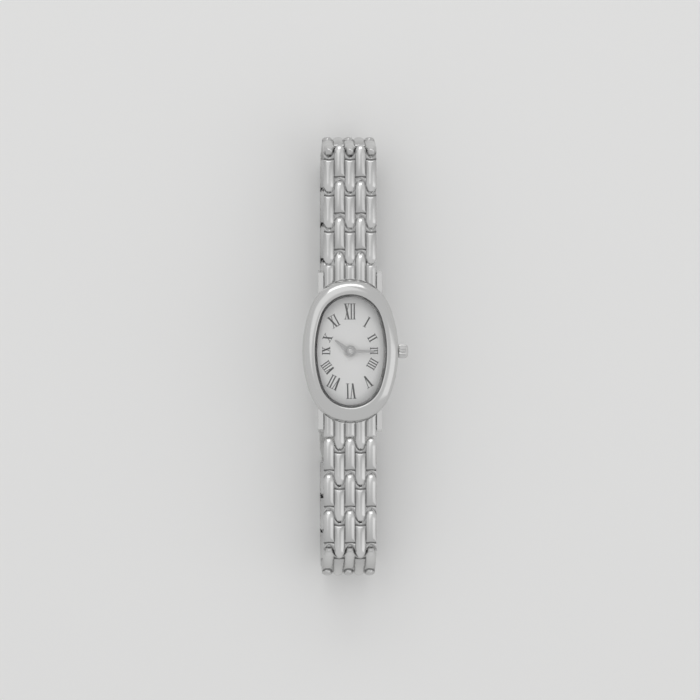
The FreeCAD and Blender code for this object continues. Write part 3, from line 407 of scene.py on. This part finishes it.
# Heights from the pin: the crest, the shelf, the groove between rows, the inner face, and the tip's two edges
CREST, SHELF_LEVEL, GROOVE, INNER, TIP_TOP, TIP_UNDER = 1.05, 0.42, 0.56, -0.95, 0.28, -0.12
# How far the tip rises on top and below, where the crest starts to fall, and where the bead draws in
TIP_RISE, TIP_UNDERCUT, CREST_FALLS, DRAWS_IN = 1.6, 0.7, 2.4, 3.2
# How round the tip is, the crest's drop along its slope and at its shoulder, and what is drawn in at the root
TIP_ROUNDNESS, SLOPE_DROP, SHOULDER_DROP, SHOULDER_SHARPNESS, ROOT_NARROWING = 0.7, 0.20, 0.24, 14, 0.06
# The lip's thickness, how far the root sinks below it, and its steps across
LIP, LIP_SINK, LIP_STEPS = 0.16, 0.06, 18
# The arch's fullness and steps, and the least half width and height that a section may have
FULLNESS, ARCH = 2.3, 14
TIP_POINT, THINNEST = 0.05, 0.05
BEAD_STEPS = [TIP, -1.13, -1.06, -0.95, -0.80, -0.60, -0.38, -0.15, 0.1, 0.6, 1.1, 1.7, 2.4, 3.1, 3.7, 4.2,
              4.5, 4.7, 4.82, 4.87, 4.89, 5.1, 5.3, ROOT]
# Painted light as a share of the lit colour: painted shade down in the grooves, how much is lost by the root,
# and on the lip and its edge
GROOVE_PAINTED_SHADE, ROOT_PAINTED_SHADE, LIP_PAINTED_SHADE, LIP_EDGE_PAINTED_SHADE = 0.75, 0.30, 0.55, 0.3
# Where the painted highlight starts to fade along the bead, over what length, and how the painted light rises
# with height
HIGHLIGHT_FADES, FADE_LENGTH, PAINTED_LIGHT_CURVE = 0.6, 4.3, 0.8
# The steel's colour under full painted shade and under full painted light
PAINTED_SHADE_STEEL, PAINTED_LIGHT_STEEL = (0.20, 0.20, 0.20), (0.68, 0.68, 0.675)

band_steel = finish("bracelet_steel", PAINTED_LIGHT_STEEL, roughness=0.14, metallic=1.0)
buff(band_steel, patches=700.0, detail=4.0, smoothest=0.14, roughest=0.24)
# The base colour is painted light: painted shade low in the grooves, on the lip and towards the root, and a
# painted highlight at the tips.
painted_light = Value(band_steel.node_tree).node("ShaderNodeAttribute", {}, output="Fac", attribute_name="painted_light")
feed(band_steel, painted_light.blend(PAINTED_SHADE_STEEL, PAINTED_LIGHT_STEEL), "Base Color")


def tip_reach(across):
    """How far the rounded tip reaches past its pin, at a place across the bead."""
    return -TIP * math.cos(math.pi / 2 * min(abs(across) / HALF_ROW, 1.0))


def bead_width(along):
    """Half the bead's width: a rounded point before the pin, full behind it, and drawn in at its root."""
    if along < 0:
        return max(HALF_ROW * math.acos(along / TIP) * 2 / math.pi, TIP_POINT)
    fall = max(along - DRAWS_IN, 0.0) / (ROOT - DRAWS_IN)
    return HALF_ROW * (1 - ROOT_NARROWING * fall ** 2)


def bead_crest(along):
    """The crest's height along the bead."""
    if along > ROOT - SHELF:
        return SHELF_LEVEL - LIP_SINK
    rise = min((along - TIP) / TIP_RISE, 1.0)
    crest = TIP_TOP + (CREST - TIP_TOP) * math.sin(rise * math.pi / 2) ** TIP_ROUNDNESS
    fall = max(along - CREST_FALLS, 0.0) / (ROOT - SHELF - CREST_FALLS)
    return crest - SLOPE_DROP * fall ** 2 - SHOULDER_DROP * fall ** SHOULDER_SHARPNESS


def bead_section(along, crest, edge):
    """One cross-section, from the inner face's left corner over the top to its right."""
    wide = bead_width(along)
    inner = TIP_UNDER + (INNER - TIP_UNDER) * min((along - TIP) / TIP_UNDERCUT, 1.0)
    section = [(-wide, along, inner)]
    for at in range(ARCH + 1):
        sideways = math.cos(math.pi * at / ARCH)
        section.append((-wide * sideways, along, edge + (crest - edge) * (1 - abs(sideways) ** FULLNESS)))
    section.append((wide, along, inner))
    return section


def bead_painted_light(point):
    """Painted light on the steel: a painted highlight brightest at the tips, painted shade low down between
    the rows.
    """
    _, along, height = point
    lift = (height - GROOVE) / max(bead_crest(along) - GROOVE, THINNEST)
    fade = min(max(along - HIGHLIGHT_FADES, 0.0) / FADE_LENGTH, 1.0)
    height_share = min(max(lift, 0.0), 1.0) ** PAINTED_LIGHT_CURVE
    return (GROOVE_PAINTED_SHADE + (1 - GROOVE_PAINTED_SHADE) * height_share) * (1 - ROOT_PAINTED_SHADE * fade)


def with_painted_light(made, shares):
    """Keeps the painted light and shade on the mesh for the steel to read."""
    made.data.attributes.new("painted_light", "FLOAT", "POINT").data.foreach_set("value", shares)
    return made


def bead_mesh(name, lipped):
    """A closed bead; a lipped one has a thin lip at its root, hollowed round the next tip."""
    sections = []
    for along in BEAD_STEPS:
        crest = bead_crest(along)
        sections.append(bead_section(along, crest, min(GROOVE, crest - THINNEST)))
    points, faces = skin(sections)
    # Each point's painted light and shade, kept with the mesh
    shares = [bead_painted_light(point) for point in points]
    if not lipped:
        return with_painted_light(solid(name, points, faces), shares)
    lip = len(points)
    for at in range(LIP_STEPS + 1):
        across = HALF_ROW * (2 * at / LIP_STEPS - 1)
        for along in (ROOT - SHELF, PITCH - tip_reach(across) - RUN):
            points += [(across, along, SHELF_LEVEL), (across, along, SHELF_LEVEL - LIP)]
            shares += [LIP_PAINTED_SHADE, LIP_EDGE_PAINTED_SHADE]
    end = lip + 4 * LIP_STEPS
    for one in range(lip, end, 4):
        other = one + 4
        faces += [(one, other, other + 2, one + 2), (one + 1, one + 3, other + 3, other + 1),
                  (one + 2, other + 2, other + 3, one + 3), (one, one + 1, other + 1, other)]
    faces += [(lip, lip + 2, lip + 3, lip + 1), (end, end + 1, end + 3, end + 2)]
    return with_painted_light(solid(name, points, faces), shares)


grain = bead_mesh("rice_grain", lipped=True)
last_grain = bead_mesh("last_grain", lipped=False)
for pattern in (grain, last_grain):
    pattern.hide_render = True

# Links
# Nine links hang from the 12 o'clock end and eight from the 6 o'clock end, each on a pin pressed through it.
# Every link has three rows forward and two between them turned about. The last link on each side has no lips
# at its far end, where the clasp's lobes turn.

# Each side's name, its links, the clasp's half at its end, and which way its pins run
SIDES = (("12", 9, "clasp_ladder", 1), ("6", 8, "clasp_cover", -1))


def link_tree():
    """The nodes that set five beads out as one link."""
    tree = bpy.data.node_groups.new("link_of_five_beads", "GeometryNodeTree")
    tree.interface.new_socket("Geometry", in_out="OUTPUT", socket_type="NodeSocketGeometry")
    for label, kind in (("Geometry", "NodeSocketGeometry"), ("Three rows", "NodeSocketObject"),
                        ("Two rows", "NodeSocketObject"), ("Steel", "NodeSocketMaterial"),
                        ("Row pitch", "NodeSocketFloat"), ("Pin pitch", "NodeSocketFloat")):
        tree.interface.new_socket(label, in_out="INPUT", socket_type=kind)
    add, link = tree.nodes.new, tree.links.new
    given, result = add("NodeGroupInput"), add("NodeGroupOutput")
    rows = add("GeometryNodeJoinGeometry")
    # Each group's count, its first row and whether it is turned about; its beads stand two rows apart
    for label, count, first, turned in (("Three rows", 3, -2, False), ("Two rows", 2, -1, True)):
        bead = add("GeometryNodeObjectInfo")
        bead.transform_space = "ORIGINAL"
        link(given.outputs[label], bead.inputs["Object"])
        line = add("GeometryNodeMeshLine")
        apart, start = add("ShaderNodeCombineXYZ"), add("ShaderNodeCombineXYZ")
        line.inputs["Count"].default_value = count
        for vector, factor in ((apart, 2.0), (start, float(first))):
            times = add("ShaderNodeMath")
            times.operation = "MULTIPLY"
            times.inputs[1].default_value = factor
            link(given.outputs["Row pitch"], times.inputs[0])
            link(times.outputs[0], vector.inputs["X"])
        if turned:
            link(given.outputs["Pin pitch"], start.inputs["Y"])
        link(apart.outputs[0], line.inputs["Offset"])
        link(start.outputs[0], line.inputs["Start Location"])
        placed = add("GeometryNodeInstanceOnPoints")
        placed.inputs["Rotation"].default_value = (0.0, 0.0, math.pi if turned else 0.0)
        link(line.outputs["Mesh"], placed.inputs["Points"])
        link(bead.outputs["Geometry"], placed.inputs["Instance"])
        link(placed.outputs["Instances"], rows.inputs[0])
    real, dressed = add("GeometryNodeRealizeInstances"), add("GeometryNodeSetMaterial")
    link(rows.outputs[0], real.inputs[0])
    link(real.outputs[0], dressed.inputs["Geometry"])
    link(given.outputs["Steel"], dressed.inputs["Material"])
    link(dressed.outputs[0], result.inputs[0])
    return tree


def cast_link(three_rows):
    """One link's mesh, from the bead of the three rows that end at the next pin."""
    maker = solid("link_maker", [(0, 0, 0)], [])
    modifier = maker.modifiers.new("link", "NODES")
    modifier.node_group = layout
    given = {"Three rows": three_rows, "Two rows": grain, "Steel": band_steel, "Row pitch": ROW * MM,
             "Pin pitch": PITCH * MM}
    for item in layout.interface.items_tree:
        if item.in_out == "INPUT" and item.name in given:
            modifier[item.identifier] = given[item.name]
    bpy.context.view_layer.update()
    cast = bpy.data.meshes.new_from_object(maker.evaluated_get(bpy.context.evaluated_depsgraph_get()))
    cast.shade_smooth()
    bpy.data.objects.remove(maker)
    return cast


def link_place(pin, ahead, side):
    """From a link's own pin along to the next, with its crests away from the wrist."""
    along = (ahead - pin).normalized()
    across_link = Vector((side, 0, 0))
    turn = Matrix((across_link, along, across_link.cross(along))).transposed().to_4x4()
    return Matrix.Translation(pin) @ turn


layout = link_tree()
link_mesh, last_mesh = cast_link(grain), cast_link(last_grain)
pins = {joint["child"]: Vector(joint["pos_m"]) for joint in frame["joints"] if "pos_m" in joint}
for tag, count, clasp_half, side in SIDES:
    chain = [f"link_{tag}_{at + 1}" for at in range(count)] + [clasp_half]
    for name, ahead in zip(chain, chain[1:]):
        mesh = (last_mesh if ahead == clasp_half else link_mesh).copy()
        mesh.transform(link_place(pins[name], pins[ahead], side))
        made = bpy.data.objects.new(f"{name}_beads", mesh)
        bpy.context.scene.collection.objects.link(made)
        piece(made, name, "bracelet_steel", band_steel, name)

# End links
# A half link fills the space between each pair of lugs, on a spring bar. Its five rows run in under the
# bezel, cut to its curve, and the tips of two of them hold the first pin.

# The bezel's oval with room round it, its steps, how near a point counts, and the gap left before it
BEZEL_WITH_ROOM, CURVE_STEPS, NEARBY, SCRIBE_GAP = (17.9, 26.6, 7.95), 720, 0.12, 0.04
# Where a row without a tip starts, how its front is rounded, and where rows stop changing shape
ROW_START, ROUNDED_FROM, ROUNDING_PACE, ROUNDING, STEADY = 1.2, 1.5, 5, 0.1, 2.9
TIPPED_STEPS = [along for along in BEAD_STEPS if along < DRAWS_IN]
BLUNT_STEPS = [ROW_START, 1.25, 1.4, 1.7, 2.1, 2.6, 3.1]
INWARD_STEPS = [3.6, 4.0, 4.4, 4.9, 5.4, 5.8]
CURVE = oval(*BEZEL_WITH_ROOM, CURVE_STEPS)


def curve_at(x):
    """How far up the bezel's curve reaches at a place across it."""
    return max(y for near_x, y in CURVE if abs(near_x - x) < NEARBY)


dress(plain, "spring_bars")
first_pin, pin_level = pins["link_12_1"].y / MM, pins["link_12_1"].z
for tag, side in (("12", 1), ("6", -1)):
    place = link_place(Vector((0, side * first_pin * MM, pin_level)), Vector((0, 0, pin_level)), -side)
    for row in (-2, -1, 0, 1, 2):
        tipped = abs(row) == 1
        sections, shares = [], []
        for along in (TIPPED_STEPS if tipped else BLUNT_STEPS) + INWARD_STEPS:
            shape = min(along, STEADY)
            crest = bead_crest(shape)
            if not tipped:
                crest -= ROUNDING * max(0.0, ROUNDED_FROM - ROUNDING_PACE * (along - ROW_START)) ** 2
            section = bead_section(shape, crest, GROOVE)
            # Each point's painted light and shade, as on the link beads: painted shade in the grooves, a
            # painted highlight towards the tips
            shares += [bead_painted_light(point) for point in section]
            sections.append([(x + row * ROW, min(along, first_pin - curve_at(x + row * ROW) - SCRIBE_GAP), z)
                             for x, _, z in section])
        bead = with_painted_light(solid(f"end_bead_{tag}_{row + 3}", *skin(sections)), shares)
        bead.data.transform(place)
        # The first row stands for the frame's whole end link
        stands_for = (f"end_link_{tag}",) if row == -2 else ()
        piece(bead, "case", "bracelet_steel", band_steel, *stands_for)

# Clasp
# Folded from strip steel and brushed lengthways: a ladder with three slots, and a hinged cover whose hook
# drops into one of them.

# Scratches per metre across the strip, along it and through it, and the roughness that they leave
SCRATCHES = (9000.0, 400.0, 9000.0)
BRUSHED_SMOOTHEST, BRUSHED_ROUGHEST = 0.24, 0.42
brushed = finish("brushed_steel", (0.68, 0.68, 0.67), roughness=0.3, metallic=1.0)
spot = places(brushed)
lines = spot.node("ShaderNodeMapping", {"Vector": spot, "Scale": SCRATCHES})
scratch = lines.node("ShaderNodeTexNoise", {"Vector": lines, "Scale": 1.0, "Detail": 2.0})
feed(brushed, scratch.ramp(NOISE_LOW, NOISE_HIGH, BRUSHED_SMOOTHEST, BRUSHED_ROUGHEST), "Roughness")
dress(brushed, "clasp_ladder", "clasp_cover")

# Floor
# A plain pale matt surface that runs out of the picture on every side. It takes the watch's soft shadow and
# isn't part of the watch.

FLOOR_HALF = 900
corners = [(x * FLOOR_HALF, y * FLOOR_HALF, 0) for x, y in ((-1, -1), (1, -1), (1, 1), (-1, 1))]
floor = solid("floor", corners, [(0, 1, 2, 3)], smooth=False)
floor.data.materials.append(finish("pale_floor", (0.83, 0.83, 0.825), roughness=0.9))

# Light
# A wide soft box overhead towards the top left, a long one beyond 12 o'clock that lights every face turned
# that way, a weaker one on the right, and a pale room.

# Each lamp's place, its size and its power
SOFT_BOXES = (
    ("key", (-0.20, 0.25, 0.60), (0.60, 0.45), 0.28),
    ("window", (-0.04, 0.50, 0.42), (0.50, 0.20), 0.40),
    ("fill", (0.50, -0.10, 0.40), (0.30, 0.60), 0.20),
)
ROOM_COLOUR, ROOM_STRENGTH = (0.81, 0.81, 0.81, 1), 0.91
for name, place, size, power in SOFT_BOXES:
    lamp = bpy.data.lights.new(name, "AREA")
    lamp.shape = "RECTANGLE"
    lamp.size, lamp.size_y = size
    lamp.energy = power
    made = bpy.data.objects.new(name, lamp)
    made.location = place
    made.rotation_euler = Vector(place).to_track_quat("Z", "Y").to_euler()
    bpy.context.scene.collection.objects.link(made)
room = bpy.data.worlds.new("room")
room.use_nodes = True
room.node_tree.nodes["Background"].inputs["Color"].default_value = ROOM_COLOUR
room.node_tree.nodes["Background"].inputs["Strength"].default_value = ROOM_STRENGTH
bpy.context.scene.world = room

# Camera
# Above the dial and a few degrees to its left, with 12 o'clock at the top, and far enough away for a flat
# view.

LEAN, DISTANCE = math.radians(3.0), 0.90
AIM = Vector((-0.0001, 0.0002, 0.017))
lens = bpy.data.cameras.new("camera")
lens.lens, lens.sensor_width = 250.0, 36.0
lens.clip_start = 0.01
camera = bpy.data.objects.new("camera", lens)
camera.location = AIM + DISTANCE * Vector((-math.sin(LEAN), 0, math.cos(LEAN)))
camera.rotation_euler = (0.0, -LEAN, 0.0)
bpy.context.scene.collection.objects.link(camera)
bpy.context.scene.camera = camera
bpy.context.scene.view_settings.view_transform = "Standard"
